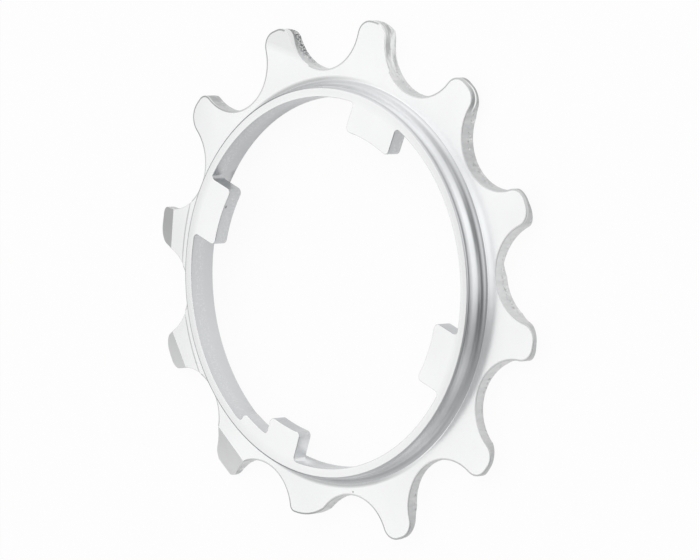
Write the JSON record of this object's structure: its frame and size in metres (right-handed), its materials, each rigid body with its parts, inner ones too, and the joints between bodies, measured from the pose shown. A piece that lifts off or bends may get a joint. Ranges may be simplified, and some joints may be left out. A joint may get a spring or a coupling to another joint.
{
  "type": "cassette cog",
  "caption": "One-piece bicycle cassette cog: shaped teeth with shift facets, a raised spacer ring and a splined, keyed bore for the freehub.",
  "frame": {"origin": "on the bore's axis, at the flat back face", "axes": "+Z along the bore's axis, toward the side with the spacer ring; +X through the middle of a tooth gap; +Y by the right hand"},
  "size_m": [0.0482, 0.0482, 0.0036],
  "materials": {
    "steel": "satin"
  },
  "bodies": {
    "root": {"cassette_cog": "steel"}
  },
  "joints": []
}
